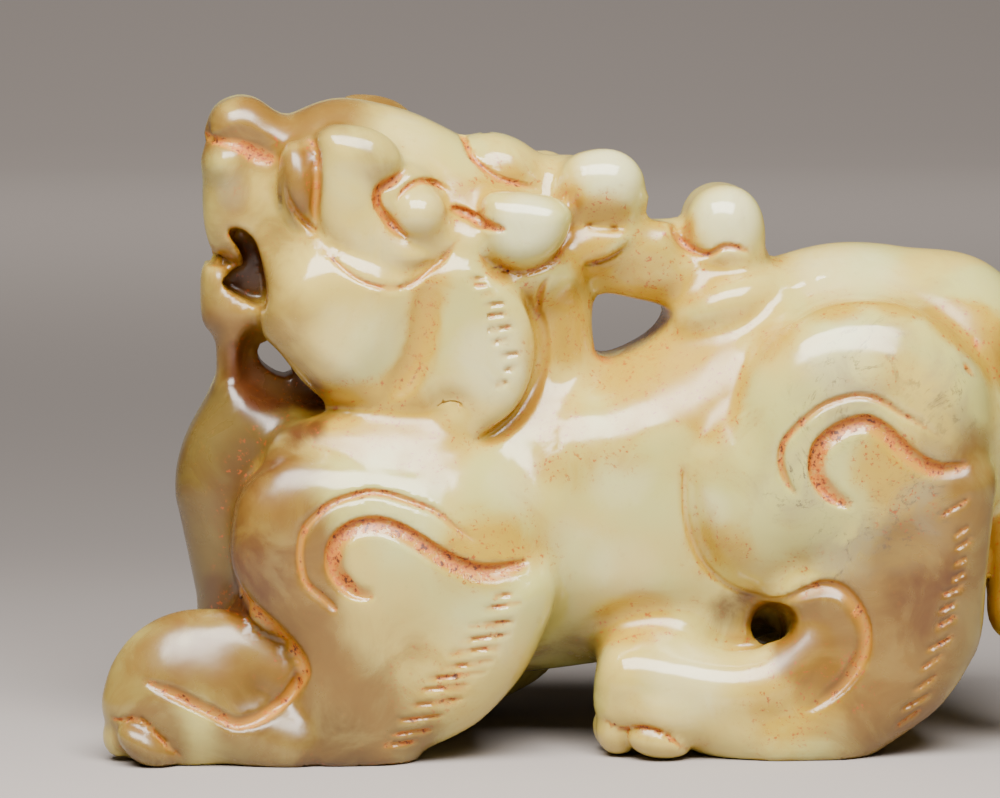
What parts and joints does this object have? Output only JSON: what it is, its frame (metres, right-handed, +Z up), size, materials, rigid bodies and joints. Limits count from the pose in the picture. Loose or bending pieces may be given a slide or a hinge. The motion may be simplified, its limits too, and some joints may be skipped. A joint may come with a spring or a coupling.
{
  "type": "qilin figure",
  "caption": "Small jade carving of a crouching horned beast with its head thrown up and back, standing on its own flat soles.",
  "frame": {"origin": "middle of the underside of the whole carving's box, on the surface that it stands on", "axes": "+Z up, the head towards -X, the beast's left flank towards -Y"},
  "size_m": [0.0985, 0.038, 0.066],
  "materials": {
    "jade": "polished pale green-white nephrite with honey and russet skin, iron-red residue in the carved lines"
  },
  "bodies": {
    "root": {"qilin": "jade"}
  },
  "joints": []
}
